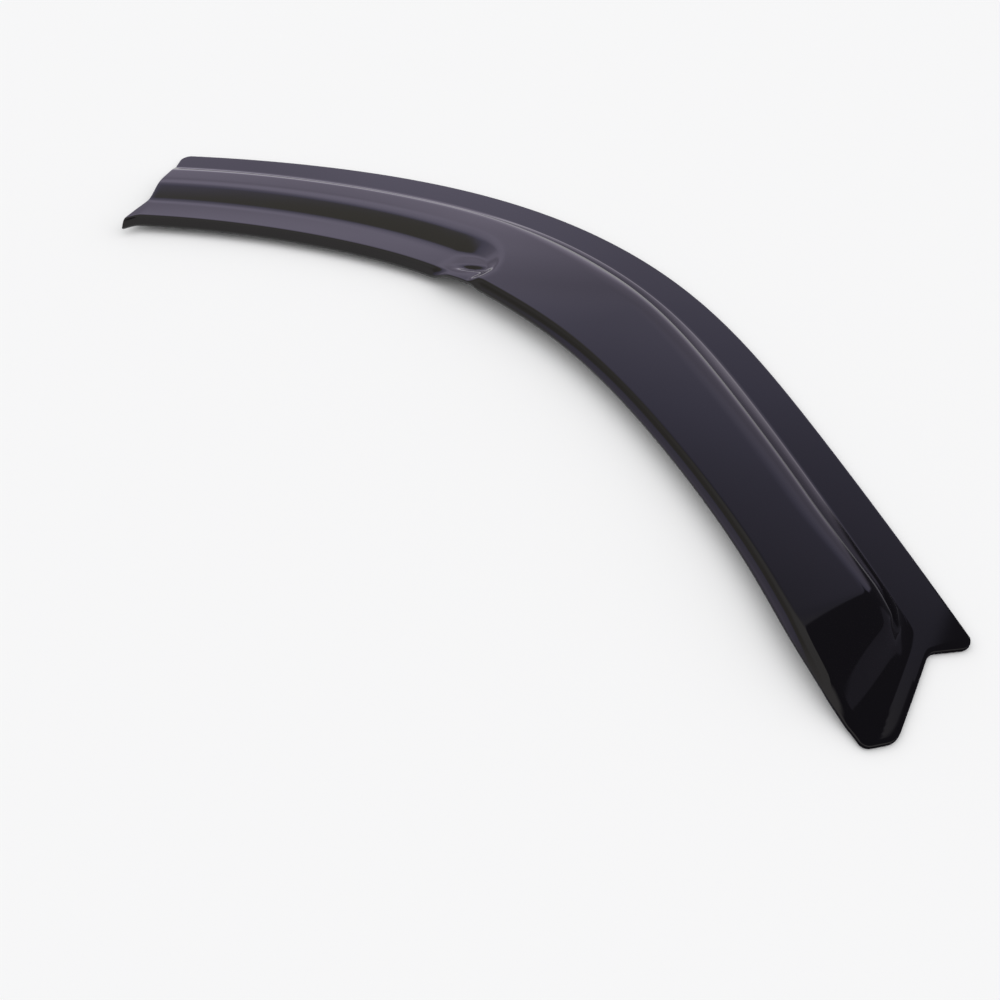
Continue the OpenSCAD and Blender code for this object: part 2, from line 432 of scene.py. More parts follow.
@dataclass(frozen=True)
class SheetSurface:
    """Upper face of the whole sheet as a function of station and inset.

    Attributes:
        thickness: Thickness of the sheet.
        plan: Line of the outer edge.
        flange: Bonding band and the wall behind it.
        hood: Hood and lip.
        channel: Air channel.
        front: Front wall and notched flange.
        gap: Half of the step that the slopes are measured over.
    """

    thickness: float = 2.5
    plan: PlanLine = PlanLine()
    flange: Flange = Flange()
    hood: Hood = Hood()
    channel: AirChannel = AirChannel()
    front: FrontEnd = FrontEnd()
    gap: float = 0.02

    @property
    def length(self) -> float:
        """Length of the outer edge."""
        return self.plan.stations[4]

    def root(self, s: Number) -> Array:
        """Inset at which the wall starts: the flange is a little narrower at the cut end."""
        f = self.flange
        return mix(f.width_rear, f.width, ease(s / self.hood.rear_length))

    def crest(self, s: Number) -> Array:
        """Inset of the crest.

        Formula: the crest lies close to the flange along the roof, moves in round the
        corner, and comes back out by one eased distance down the pillar and by another
        at the front wall.

        Args:
            s: Stations.

        Returns:
            The insets.
        """
        f = self.flange
        inset = mix(f.wall_rear, f.wall_front, ease((s - f.inset_start) / f.inset_length))
        closing = f.closing * ease((s - f.closing_start) / f.closing_length)
        tip = f.tip_closing * ease((s - f.tip_start) / f.tip_length)
        return self.root(s) + inset - closing - tip

    def full_wall(self, s: Number) -> Array:
        """Share of the front's high wall, from nothing along the roof to one down the pillar."""
        return ease((s - self.flange.crest_start) / self.flange.crest_length)

    def edge(self, s: Number) -> Array:
        """Inset of the hood's inner edge.

        Formula: the rear width eased down to the front width along the taper, less a
        narrowing eased out of the cut end, plus the ear at that end, less a narrowing
        that follows the fall of the front wall.

        Args:
            s: Stations.

        Returns:
            The insets.
        """
        h, e = self.hood, self.front
        ear = 1.0 - ease((s + h.ear_length) / (h.ear_length + h.ear_blend))
        wide = (
            h.width_rear
            - (h.width_rear - h.width_front) * ease((s - h.taper_start) / h.taper_length)
            - h.rear_narrowing * (1.0 - ease(s / h.rear_length))
            + h.ear_drop * ear
        )
        return wide - e.narrowing * (1.0 - self.front_ramp(s, wide))

    def front_ramp(self, s: Number, v: Number) -> Array:
        """Front wall's ramp, from nothing at its foot to one well behind it."""
        e = self.front
        behind = (self.foot(v) - s) * self.slant_cos
        return e.wall.ramp(clamp(behind / self.fall(v)))

    def fall(self, v: Number) -> Array:
        """Depth over which the front wall falls: it grows from the crest to the lip."""
        e, crest = self.front, self.flange.width + self.flange.wall_front
        return mix(e.wall_depth, e.lip_depth, clamp((v - crest) / (self.hood.width_front - crest)))

    def lip(self, s: Number) -> Array:
        """Inset at which the lip starts."""
        return self.edge(s) - self.hood.lip_width

    def lip_drop(self, s: Number) -> Array:
        """Depth of the lip, which is less where the channel's closed end runs out through it."""
        c = self.channel
        gone = ease((s - c.length + c.lip_before) / c.lip_out)
        gone = gone * ease((c.length + c.lip_after - s) / c.lip_back)
        return self.hood.lip_drop * (1.0 - c.lip_ease * gone)

    def in_channel(self, s: Number, v: Number) -> Array:
        """Share of the channel's depth: one well inside it and nothing outside.

        Formula: the middle line of the step runs along the roof and turns down to the
        lip by an elliptic corner. The distance to that line, over the step's width, is
        put on the step's slope diagram, which is integrated up to there. The step gets
        narrower along the closed end, and the depth fades to a share of itself.

        Args:
            s: Stations.
            v: Insets.

        Returns:
            The shares, from 0 to 1.
        """
        c = self.channel
        a = (s - c.length) / c.corner_stretch + c.corner
        b = mix(c.middle_rear, c.middle_front, ease(s / c.length)) - v + c.corner
        out = (
            np.hypot(np.maximum(a, 0.0), np.maximum(b, 0.0))
            + np.minimum(np.maximum(a, b), 0.0)
            - c.corner
        )
        width = mix(c.step_width, c.end_width, ease((s - c.length + c.end_run) / c.end_run))
        depth = mix(1.0, c.end_share, ease((s - c.fade_start) / c.fade_run))
        return depth * c.step.ramp(clamp(c.step_middle - out / width))

    def pit(self, s: Number, v: Number) -> Array:
        """Depth of the small pit in the channel's closed end: a bell over an ellipse.

        Args:
            s: Stations.
            v: Insets.

        Returns:
            The depths in millimetres.
        """
        c = self.channel
        ds = s - c.pit[0]
        dv = v - c.pit[1] + c.pit_slant * ds
        return c.pit_depth * np.exp(-((ds / c.pit_reach[0]) ** 2) - (dv / c.pit_reach[1]) ** 2)

    @property
    def slant_cos(self) -> float:
        """Cosine of the front wall's slant."""
        return math.cos(math.radians(self.front.slant))

    @property
    def foot_start(self) -> float:
        """Station of the front wall's foot at the flange."""
        e = self.front
        return self.length - e.set_back - e.flange / self.slant_cos

    def foot(self, v: Number) -> Array:
        """Station of the front wall's foot: a straight line that slants with the inset."""
        slant = math.tan(math.radians(self.front.slant))
        return self.foot_start + (v - self.flange.width) * slant

    def rise(self, s: Number, v: Number) -> Array:
        """Height of the upper face over the flange's own upper face.

        Formula: the wall's rise to the crest, plus the body's rise from the crest to
        the lip, less the channel's depth, less the lip's fall, all times the front
        wall's ramp, which goes from nothing at its foot to one behind it.

        Args:
            s: Stations.
            v: Insets.

        Returns:
            The heights in millimetres.
        """
        f, h, c = self.flange, self.hood, self.channel
        crest, lip = self.crest(s), self.lip(s)
        top = mix(h.rise_rear, h.rise_front, ease((s - h.taper_start) / h.taper_length))
        wall = mix(f.rise_rear, f.rise_front, self.full_wall(s))
        shoulder = mix(f.shoulder_rear, f.shoulder_front, self.full_wall(s))
        root = self.root(s)
        return self.front_ramp(s, v) * (
            wall * f.wall.ramp(clamp((v - root) / (crest + shoulder - root)))
            + (top - wall) * h.body.ramp(clamp((v - crest) / (lip - crest), 0.0, h.body.end))
            - c.depth * self.in_channel(s, v)
            - self.pit(s, v)
            - self.lip_drop(s) * h.lip.ramp(clamp((v - lip) / h.lip_width))
        )

    def rear_end(self, s: Number, v: Number) -> Array:
        """Station of the cut rear end: a round corner at the flange and the ear at the lip."""
        h = self.hood
        out = over((v - h.ear_start) / (self.edge(s) - h.ear_start), h.ear_round)
        return quarter(v, self.flange.rear_corner) - h.ear_length * out

    def front_end(self, s: Number, v: Number) -> Array:
        """Station of the front outline.

        Formula: the flange's own cut, less a round corner, plus the way that the
        slanting foot and its flange run past that cut, less what passes the lower
        tip, less the tip's round corner. The notch and the tip are rounded parabolas.

        Args:
            s: Stations.
            v: Insets.

        Returns:
            The stations.
        """
        e = self.front
        cut = self.length - e.rake * clamp(v / self.flange.width)
        slant = self.foot(v) + e.flange / self.slant_cos - cut
        return (
            cut
            - quarter(v, self.flange.front_corner)
            + over(slant, e.notch_radius / 2.0)
            - over(slant - e.tip_reach, e.tip_radius / 2.0)
            - quarter(self.edge(s) - v, e.tip_corner)
        )

    def upper(self, s: Array, v: Array) -> tuple[Array, Array]:
        """Points of the upper face and the normals there.

        Formula: the edge's point plus the inset along its inward normal, raised by the
        sheet's thickness and the rise. The normal is one upward, less the slope along
        the edge and the slope across it, each from a central difference, and the one
        along the edge is divided by how much shorter a line at that inset is.

        Args:
            s: Stations.
            v: Insets.

        Returns:
            Points and unit normals, each with a last axis of three.
        """
        gap = self.gap
        h = self.plan.heading(s)
        along = np.stack([np.cos(h), np.sin(h)], axis=-1)
        inward = np.stack([np.sin(h), -np.cos(h)], axis=-1)
        ds = (self.rise(s + gap, v) - self.rise(s - gap, v)) / (2.0 * gap)
        ds = ds / (1.0 - self.plan.bend(s) * v)
        dv = (self.rise(s, v + gap) - self.rise(s, v - gap)) / (2.0 * gap)
        size = np.sqrt(ds * ds + dv * dv + 1.0)[..., None]
        side = (-ds[..., None] * along - dv[..., None] * inward) / size
        zero = self.plan.point(np.asarray(self.plan.datum)) - [0.0, self.plan.datum_inset]
        flat = self.plan.point(s) + v[..., None] * inward - zero
        height = self.thickness + self.rise(s, v)
        return (
            np.concatenate([flat, height[..., None]], axis=-1),
            np.concatenate([side, 1.0 / size], axis=-1),
        )


# ---------------------------------------------------------------- meshes


class Detail(Enum):
    """How finely the sheet's net is drawn, as the length of a plain cell in millimetres."""

    FINE = 3.4
    DRAFT = 6.0


@dataclass(frozen=True)
class SheetNet:
    """Net of stations and insets that the sheet's mesh is worked out on.

    Attributes:
        surface: The sheet.
        edge_round: Radius of the polished round on the sheet's edges.
        detail: Length of a cell where nothing bends sharply.
        rim_shares: Places of the rounded rim's lines, as shares of its radius.
        rear_rows: Stations of the rows between the rim and the rear's end.
        rear_end: Station where the rows no longer follow the cut end's outline.
        close_before: How far before the channel's closed end the rows get close.
        close_after: How far past it they do.
        close_rows: Number of lines along the closed end.
        fan_after: How far past the corner the rows begin to turn.
        fan_rows: Number of lines along the turning stretch.
        wall_rows: Number of lines down the front wall.
        brim_rows: Number of lines over the flange in front of it.
        low_share: Greatest share of the way from the wall's head to the outline at
            which the wall's lines may end.
        passes: Number of passes that settle the net.
        flange_columns: Insets of the columns over the flange, in millimetres.
        root_shares: Places of the columns from there to the wall's foot, as shares.
        wall_columns: Number of lines from the wall's foot to the crest.
        body_runs: Start and end of each run of columns from the crest to the lip, as
            shares, and its number of lines.
        lip_columns: Number of lines from the lip's start to its rim.
    """

    surface: SheetSurface
    edge_round: float = 0.6
    detail: Detail = Detail.FINE
    rim_shares: tuple[float, ...] = (0.0, 0.06, 0.25, 0.6, 1.0)
    rear_rows: tuple[float, ...] = (1.3, 2.4, 4.0, 6.0, 8.5, 11.5, 15.0, 19.0, 24.0)
    rear_end: float = 30.0
    close_before: float = 84.0
    close_after: float = 6.0
    close_rows: int = 47
    fan_after: float = 120.0
    fan_rows: int = 66
    wall_rows: int = 29
    brim_rows: int = 7
    low_share: float = 0.8
    passes: int = 4
    flange_columns: tuple[float, ...] = (1.2, 2.0, 3.0, 4.2, 5.6, 7.2, 9.0)
    root_shares: tuple[float, ...] = (0.25, 0.5, 0.7, 0.85, 0.95)
    wall_columns: int = 21
    body_runs: tuple[tuple[float, float, int], ...] = (
        (0.0, 0.20, 15),
        (0.20, 0.80, 37),
        (0.80, 0.94, 8),
        (0.94, 1.0, 5),
    )
    lip_columns: int = 11

    @property
    def rim(self) -> Array:
        """Distances from an edge at which the rounded rim has its lines."""
        return self.edge_round * np.array(self.rim_shares)

    @property
    def fan(self) -> float:
        """Station where the rows begin to turn."""
        return self.surface.plan.stations[2] + self.fan_after

    @property
    def straight(self) -> Array:
        """Stations of the rows that go straight across, close where the sheet bends sharply."""
        near = self.surface.channel.length - self.close_before
        past = self.surface.channel.length + self.close_after
        pace = self.detail.value
        return np.concatenate(
            [
                self.rim,
                self.rear_rows,
                np.linspace(self.rear_end, near, int((near - self.rear_end) / pace)),
                np.linspace(near, past, self.close_rows)[1:],
                np.linspace(past, self.fan, int((self.fan - past) / pace))[1:],
            ]
        )

    @property
    def row_count(self) -> int:
        """Number of rows: straight ones, fan, front wall, flange and rim."""
        bent = (self.fan_rows - 1) + (self.wall_rows - 1) + (self.brim_rows - 2)
        return len(self.straight) + bent + len(self.rim)

    def columns(self, s: Array) -> Array:
        """Insets of the net's columns at given stations.

        Formula: fixed insets over the rim and the flange, then shares of the way from
        the flange to the root, the crest and the lip, and fixed steps over the lip.

        Args:
            s: Stations, of any shape.

        Returns:
            The insets, with a last axis for the columns.
        """
        w = self.surface
        s = np.asarray(s)[..., None]
        flat = np.array(self.flange_columns)
        to_root = np.array(self.root_shares)
        wall = np.linspace(0.0, 1.0, self.wall_columns)
        body = np.concatenate([np.linspace(*run)[1:] for run in self.body_runs])
        lip = np.linspace(0.0, w.hood.lip_width - self.edge_round, self.lip_columns)[1:-1]
        root, crest, start, edge = w.root(s), w.crest(s), w.lip(s), w.edge(s)
        same = np.ones_like(s)
        return np.concatenate(
            [
                same * self.rim,
                same * flat,
                mix(flat[-1], root, to_root),
                mix(root, crest, wall),
                mix(crest, start, body),
                start + same * lip,
                edge - same * self.rim[::-1],
            ],
            axis=-1,
        )

    def stations(self, s: Array, v: Array) -> Array:
        """Station of each row at given places.

        Formula: the rows go straight across up to the fan, where they begin to turn
        so that the last ones lie along the front wall. The rows by the cut end follow
        its outline, and the last rows follow the front outline.

        Args:
            s: Stations of the last pass.
            v: Insets of the last pass.

        Returns:
            The stations, of the same shape.
        """
        w = self.surface
        straight = self.straight[:, None]
        fanned = np.linspace(0.0, 1.0, self.fan_rows)[1:, None]
        wall = np.linspace(0.0, 1.0, self.wall_rows)[1:, None]
        flat = np.linspace(0.0, 1.0, self.brim_rows)[1:-1, None]
        counts = [len(straight), len(fanned), len(wall), len(flat)]
        first, turning, down, level, rim = np.split(np.arange(len(s)), np.cumsum(counts))
        head = w.foot(v) - w.fall(v) / w.slant_cos
        last = w.front_end(s, v)
        low = np.minimum(w.foot(v), mix(head, last, self.low_share))
        brim = last - self.edge_round
        return np.concatenate(
            [
                straight + w.rear_end(s, v)[first] * clamp(1.0 - straight / self.rear_end),
                mix(self.fan, head[turning], fanned),
                mix(head[down], low[down], wall),
                mix(low[level], brim[level], flat),
                last[rim] - self.rim[::-1, None],
            ]
        )

    def places(self) -> tuple[Array, Array]:
        """Stations and insets of the net, settled in a few passes.

        Returns:
            Two arrays with a row for each station and a column for each inset.
        """
        guess = np.linspace(0.0, self.surface.length, self.row_count)
        v = self.columns(guess)
        s = np.broadcast_to(guess[:, None], v.shape)
        for _ in range(self.passes):
            s = self.stations(s, v)
            v = np.einsum("ijj->ij", self.columns(s))
        return s, v


def sheet_mesh(name: str, top: Array, under: Array, chart: Array) -> bpy.types.Mesh:
    """Closed mesh of a sheet from the grids of its two faces.

    Formula: both grids become quads, the lower ones turned over, and a strip of quads
    round the border joins them.

    Args:
        name: Name of the mesh.
        top: Points of the upper face, rows by columns by three, in metres.
        under: Points of the lower face, of the same shape.
        chart: Chart of the sheet for its UV map, rows by columns by two.

    Returns:
        The mesh, with a UV map and smooth faces.
    """
    rows, cols = top.shape[:2]
    index = np.arange(rows * cols, dtype=np.int32).reshape(rows, cols)
    a, b, c, d = index[:-1, :-1], index[1:, :-1], index[1:, 1:], index[:-1, 1:]
    upper = np.stack([a, b, c, d], axis=-1).reshape(-1, 4)
    lower = upper[:, ::-1] + rows * cols
    border = np.concatenate(
        [index[0, :-1], index[:-1, -1], index[-1, :0:-1], index[:0:-1, 0]]
    )
    after = np.roll(border, -1)
    strip = np.stack([border, after, after + rows * cols, border + rows * cols], axis=-1)
    quads = np.concatenate([upper, lower, strip]).astype(np.int32)
    points = np.concatenate([top.reshape(-1, 3), under.reshape(-1, 3)])

    mesh = bpy.data.meshes.new(name)
    mesh.vertices.add(len(points))
    mesh.vertices.foreach_set("co", points.astype(np.float32).ravel())
    mesh.loops.add(quads.size)
    mesh.loops.foreach_set("vertex_index", quads.ravel())
    mesh.polygons.add(len(quads))
    mesh.polygons.foreach_set("loop_start", np.arange(0, quads.size, 4, dtype=np.int32))
    mesh.polygons.foreach_set("use_smooth", np.ones(len(quads), dtype=bool))
    mesh.update(calc_edges=True)
    both = np.concatenate([chart.reshape(-1, 2)] * 2)
    layer = mesh.uv_layers.new(name="Chart")
    layer.data.foreach_set("uv", both[quads.ravel()].astype(np.float32).ravel())
    mesh.validate()
    return mesh


# ---------------------------------------------------------------- shader maths


class Wire:
    """One socket of a node tree, on which Python's operators add Math nodes."""

    def __init__(self, graph: "Graph", socket: bpy.types.NodeSocket | None) -> None:
        """Wraps a socket of a graph, or nothing for a node that gives nothing out."""
        self.graph = graph
        self.socket = socket

    def _math(self, operation: str, a: "Feed", b: "Feed") -> "Wire":
        """Adds a Math node with two inputs."""
        return self.graph.add("ShaderNodeMath", {"operation": operation}, {0: a, 1: b})

    def __add__(self, other: "Feed") -> "Wire":
        """Sum of two values."""
        return self._math("ADD", self, other)

    def __radd__(self, other: "Feed") -> "Wire":
        """Sum of two values, the number first."""
        return self._math("ADD", other, self)

    def __sub__(self, other: "Feed") -> "Wire":
        """Difference of two values."""
        return self._math("SUBTRACT", self, other)

    def __rsub__(self, other: "Feed") -> "Wire":
        """Difference of two values, the number first."""
        return self._math("SUBTRACT", other, self)

    def __mul__(self, other: "Feed") -> "Wire":
        """Product of two values."""
        return self._math("MULTIPLY", self, other)

    def __rmul__(self, other: "Feed") -> "Wire":
        """Product of two values, the number first."""
        return self._math("MULTIPLY", other, self)


Feed = Union[Wire, float, Sequence[float]]


class Graph:
    """A node tree of a material or a world that is written as expressions."""

    def __init__(self, owner: Union[bpy.types.Material, bpy.types.World]) -> None:
        """Empties the owner's node tree and keeps it."""
        owner.use_nodes = True
        self.tree = owner.node_tree
        self.tree.nodes.clear()

    def add(
        self,
        kind: str,
        settings: dict[str, Any] | None = None,
        inputs: dict[Union[int, str], Feed] | None = None,
        out: Union[int, str] = 0,
    ) -> Wire:
        """Adds a node, sets it up and feeds its sockets.

        Args:
            kind: Blender's name for the node type.
            settings: Properties to set first; "stops" sets a ramp's colours.
            inputs: Values or wires, by a socket's name or number.
            out: Name or number of the output to return.

        Returns:
            The wire of that output.
        """
        node = self.tree.nodes.new(kind)
        for key, value in (settings or {}).items():
            if key == "stops":
                self._stops(node.color_ramp, value)
            else:
                setattr(node, key, value)
        for key, value in (inputs or {}).items():
            if isinstance(value, Wire):
                self.tree.links.new(value.socket, node.inputs[key])
            else:
                node.inputs[key].default_value = value
        return Wire(self, node.outputs[out] if len(node.outputs) else None)

    def span(self, value: Feed, start: float, end: float) -> Wire:
        """Smooth step of a value, nothing at the start and one at the end, either way round."""
        return self.add(
            "ShaderNodeMapRange",
            {"interpolation_type": "SMOOTHSTEP"},
            {"Value": value, "From Min": start, "From Max": end},
        )

    def blend(self, factor: Feed, first: Feed, second: Feed) -> Wire:
        """Goes from the first colour to the second as the factor goes from nothing to one."""
        return self.add(
            "ShaderNodeMix",
            {"data_type": "RGBA"},
            {"Factor": factor, "A": first, "B": second},
            out=2,
        )

    @staticmethod
    def _stops(
        ramp: bpy.types.ColorRamp, stops: Sequence[tuple[float, Sequence[float]]]
    ) -> None:
        """Gives a colour ramp its stops, in order."""
        while len(ramp.elements) > 1:
            ramp.elements.remove(ramp.elements[-1])
        ramp.elements[0].position, ramp.elements[0].color = stops[0]
        for place, colour in stops[1:]:
            ramp.elements.new(place).color = colour


def grey(level: float) -> Colour:
    """A neutral colour of one level."""
    return level, level, level, 1.0


# ---------------------------------------------------------------- finishes


@dataclass(frozen=True)
class SmokedAcrylic:
    """Polished smoke-tinted acrylic, so dark that the hood looks black.

    Attributes:
        smoke: Colour deep in the sheet.
        haze: Colour where moulding haze lies on it.
        refraction: Index of refraction of acrylic.
        polish: Roughness of the polished face.
        wiping: Roughness added by fine wiping marks.
        ripple: Height of the long ripple that moulding leaves, in metres.
        haze_grain: Scale and detail of the haze.
        ripple_grain: Scale and detail of the ripple.
        wipe_grain: Scale and detail of the wiping marks.
        wipe_pull: Scales that draw those marks out along the roof line.
    """

    smoke: Colour = (0.0020, 0.0017, 0.0023, 1.0)
    haze: Colour = (0.0036, 0.0031, 0.0040, 1.0)
    refraction: float = 1.49
    polish: float = 0.045
    wiping: float = 0.04
    ripple: float = 0.00004
    haze_grain: tuple[float, float] = (9.0, 3.0)
    ripple_grain: tuple[float, float] = (22.0, 1.0)
    wipe_grain: tuple[float, float] = (4.0, 4.0)
    wipe_pull: tuple[float, float, float] = (14.0, 160.0, 40.0)

    def build(self, name: str) -> bpy.types.Material:
        """Makes the material.

        Args:
            name: Name of the material.

        Returns:
            The material.
        """
        material = bpy.data.materials.new(name)
        graph = Graph(material)
        place = graph.add("ShaderNodeTexCoord", out="Object")
        drawn = graph.add("ShaderNodeMapping", {}, {"Vector": place, "Scale": self.wipe_pull})
        long_ripple = self.noise(graph, place, self.ripple_grain)
        clouds = self.noise(graph, place, self.haze_grain)
        wipes = self.noise(graph, drawn, self.wipe_grain)
        colour = graph.blend(clouds, self.smoke, self.haze)
        rough = self.polish + self.wiping * (wipes * clouds)
        bump = graph.add(
            "ShaderNodeBump",
            {},
            {"Height": long_ripple, "Strength": 1.0, "Distance": self.ripple},
        )
        shader = graph.add(
            "ShaderNodeBsdfPrincipled",
            {},
            {
                "Base Color": colour,
                "Roughness": rough,
                "IOR": self.refraction,
                "Normal": bump,
            },
        )
        graph.add("ShaderNodeOutputMaterial", {}, {"Surface": shader})
        return material

    @staticmethod
    def noise(graph: Graph, place: Wire, grain: tuple[float, float]) -> Wire:
        """Adds a noise pattern at a place, with its grain's scale and detail."""
        inputs = {"Vector": place, "Scale": grain[0], "Detail": grain[1]}
        return graph.add("ShaderNodeTexNoise", {}, inputs)


@dataclass(frozen=True)
class PaleFloor:
    """Matt white floor, with painted shade that only mirrored rays find: its colour in the gloss's
    reflections is painted darker toward the front of the part.

    Attributes:
        colour: Colour of the floor.
        dim: Painted shade that mirrored rays find beside the pillar line.
        dark: Deeper painted shade that mirrored rays find past the front end.
        lean: How far the lines of equal shade lean, as a slope in plan.
        dimming: Places along the floor where the painted shade starts to dim the colour and where
            it is full.
        darkening: Places where the deeper painted shade starts and where it is full.
        roughness: Roughness of the floor.
    """

    colour: Colour = (0.93, 0.93, 0.935, 1.0)
    dim: Colour = (0.38, 0.37, 0.42, 1.0)
    dark: Colour = (0.06, 0.055, 0.07, 1.0)
    lean: float = 0.73
    dimming: Band = (0.38, 0.74)
    darkening: Band = (0.72, 0.80)
    roughness: float = 0.9

    def build(self, name: str) -> bpy.types.Material:
        """Makes the material, with the given name."""
        material = bpy.data.materials.new(name)
        graph = Graph(material)
        place = graph.add("ShaderNodeTexCoord", out="Object")
        x, y = (graph.add("ShaderNodeSeparateXYZ", {}, {0: place}, out=k) for k in range(2))
        mirrored = graph.add("ShaderNodeLightPath", out="Is Glossy Ray")
        ahead = x - self.lean * y
        # Painted shade for mirrored rays only: the colour they find dims, then goes dark, toward
        # the front of the part.
        gloss = graph.blend(graph.span(ahead, *self.dimming), self.colour, self.dim)
        gloss = graph.blend(graph.span(ahead, *self.darkening), gloss, self.dark)
        shader = graph.add(
            "ShaderNodeBsdfPrincipled",
            {},
            {
                "Base Color": graph.blend(mirrored, self.colour, gloss),
                "Roughness": self.roughness,
                "Specular IOR Level": 0.0,
            },
        )
        graph.add("ShaderNodeOutputMaterial", {}, {"Surface": shader})
        return material


# ---------------------------------------------------------------- the object


@dataclass
class Deflector:
    """The moulded sheet, drawn finely over the place of its CAD node.

    Attributes:
        surface: Shape of the sheet.
        finish: Finish of the sheet.
        detail: How finely its net is drawn.
        name: Name of the piece.
        node: Name of its CAD node.
        slot: Name of its material slot.
    """

    surface: SheetSurface = SheetSurface()
    finish: SmokedAcrylic = SmokedAcrylic()
    detail: Detail = Detail.FINE
    name: str = "hood_sheet"
    node: str = "deflector"
    slot: str = "tinted_acrylic"

    def build(self) -> bpy.types.Object:
        """Makes the sheet's object.

        Formula: the upper face is sunk along its normal by the rim's round near every
        edge, and the lower face is the upper one moved down its normal by the
        thickness, less the same round.

        Returns:
            The object, riding on the part's only body.
        """
        sheet = self.surface
        net = SheetNet(sheet, detail=self.detail)
        s, v = net.places()
        points, normals = sheet.upper(s, v)
        slanting = np.where(v > sheet.front.slanting_from, sheet.slant_cos, 1.0)
        to_edges = [
            v,
            sheet.edge(s) - v,
            s - sheet.rear_end(s, v),
            (sheet.front_end(s, v) - s) * slanting,
        ]
        drop = np.maximum.reduce([quarter(d, net.edge_round) for d in to_edges])[..., None]
        top = (points - drop * normals) * MM
        under = (points - (sheet.thickness - drop) * normals) * MM
        mesh = sheet_mesh(self.name, top, under, np.stack([s, v], axis=-1) * MM)
        piece = bpy.data.objects.new(self.name, mesh)
        bpy.context.scene.collection.objects.link(piece)
        self.dress(piece)
        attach(piece, "root")
        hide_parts(self.node)
        log.info("%s: %d faces on %d by %d places", self.name, len(mesh.polygons), *s.shape)
        return piece

    def dress(self, piece: bpy.types.Object) -> None:
        """Gives the sheet its finish."""
        piece.data.materials.append(self.finish.build(self.slot))


# ---------------------------------------------------------------- the studio


class Measure(Enum):
    """What the bands of the studio's tent go by, for the direction of a ray."""

    SIDE = "share of the direction along the X axis"
    AWAY = "share of it along the Y axis"
    HEIGHT = "share of it straight up"
    TURN = "angle from the Y axis toward the X axis, in radians"


@dataclass(frozen=True)
class Panel:
    """One panel of the tent: a colour where all of its bands meet.

    Attributes:
        colour: Colour of the panel.
        bands: The measure of each band, and where the band starts and where it is full.
        share: Share of the panel's colour that is blended in.
    """

    colour: Colour
    bands: tuple[tuple[Measure, float, float], ...]
    share: float = 1.0

    def cover(self, graph: Graph, measures: dict[Measure, Wire]) -> Wire:
        """How far a ray meets the panel: the product of its share and its bands."""
        spans = [graph.span(measures[kind], start, full) for kind, start, full in self.bands]
        return math.prod(spans, start=self.share)


